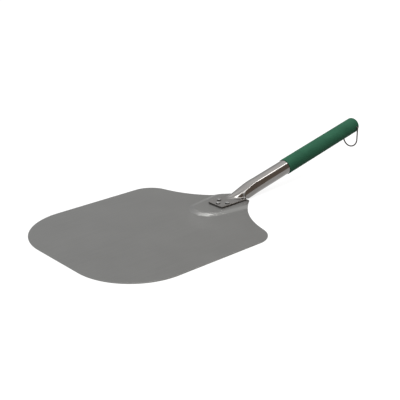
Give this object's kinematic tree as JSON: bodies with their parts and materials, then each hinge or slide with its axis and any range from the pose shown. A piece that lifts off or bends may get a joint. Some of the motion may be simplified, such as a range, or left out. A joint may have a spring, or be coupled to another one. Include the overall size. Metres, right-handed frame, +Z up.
{
  "type": "pizza peel",
  "caption": "Short-handled pizza peel: flat rounded sheet blade, riveted tube handle rising at an angle, moulded grip and a swinging wire hanging loop.",
  "frame": {"origin": "centre of the round pizza that fits the blade, on the blade's underside", "axes": "+X from the blade towards the grip, +Y to the left, +Z up from the surface that the blade lies on"},
  "size_m": [0.6652, 0.3, 0.0856],
  "materials": {
    "blade_sheet": "satin",
    "rivet": "satin",
    "tube_metal": "polished",
    "grip_plastic": "semi-gloss, dark green",
    "loop_wire": "plain wire"
  },
  "bodies": {
    "peel": {"blade": "blade_sheet", "rivet_front": "rivet", "rivet_left": "rivet", "rivet_right": "rivet", "handle_tube": "tube_metal", "grip_sleeve": "grip_plastic"},
    "loop": {"hanging_loop": "loop_wire"}
  },
  "joints": [
    {"name": "loop_swing", "type": "hinge", "parent": "peel", "child": "loop", "pos_m": [0.50312, 0, 0.07121], "axis": [0, 1, 0], "range_deg": [-257, 53]}
  ]
}
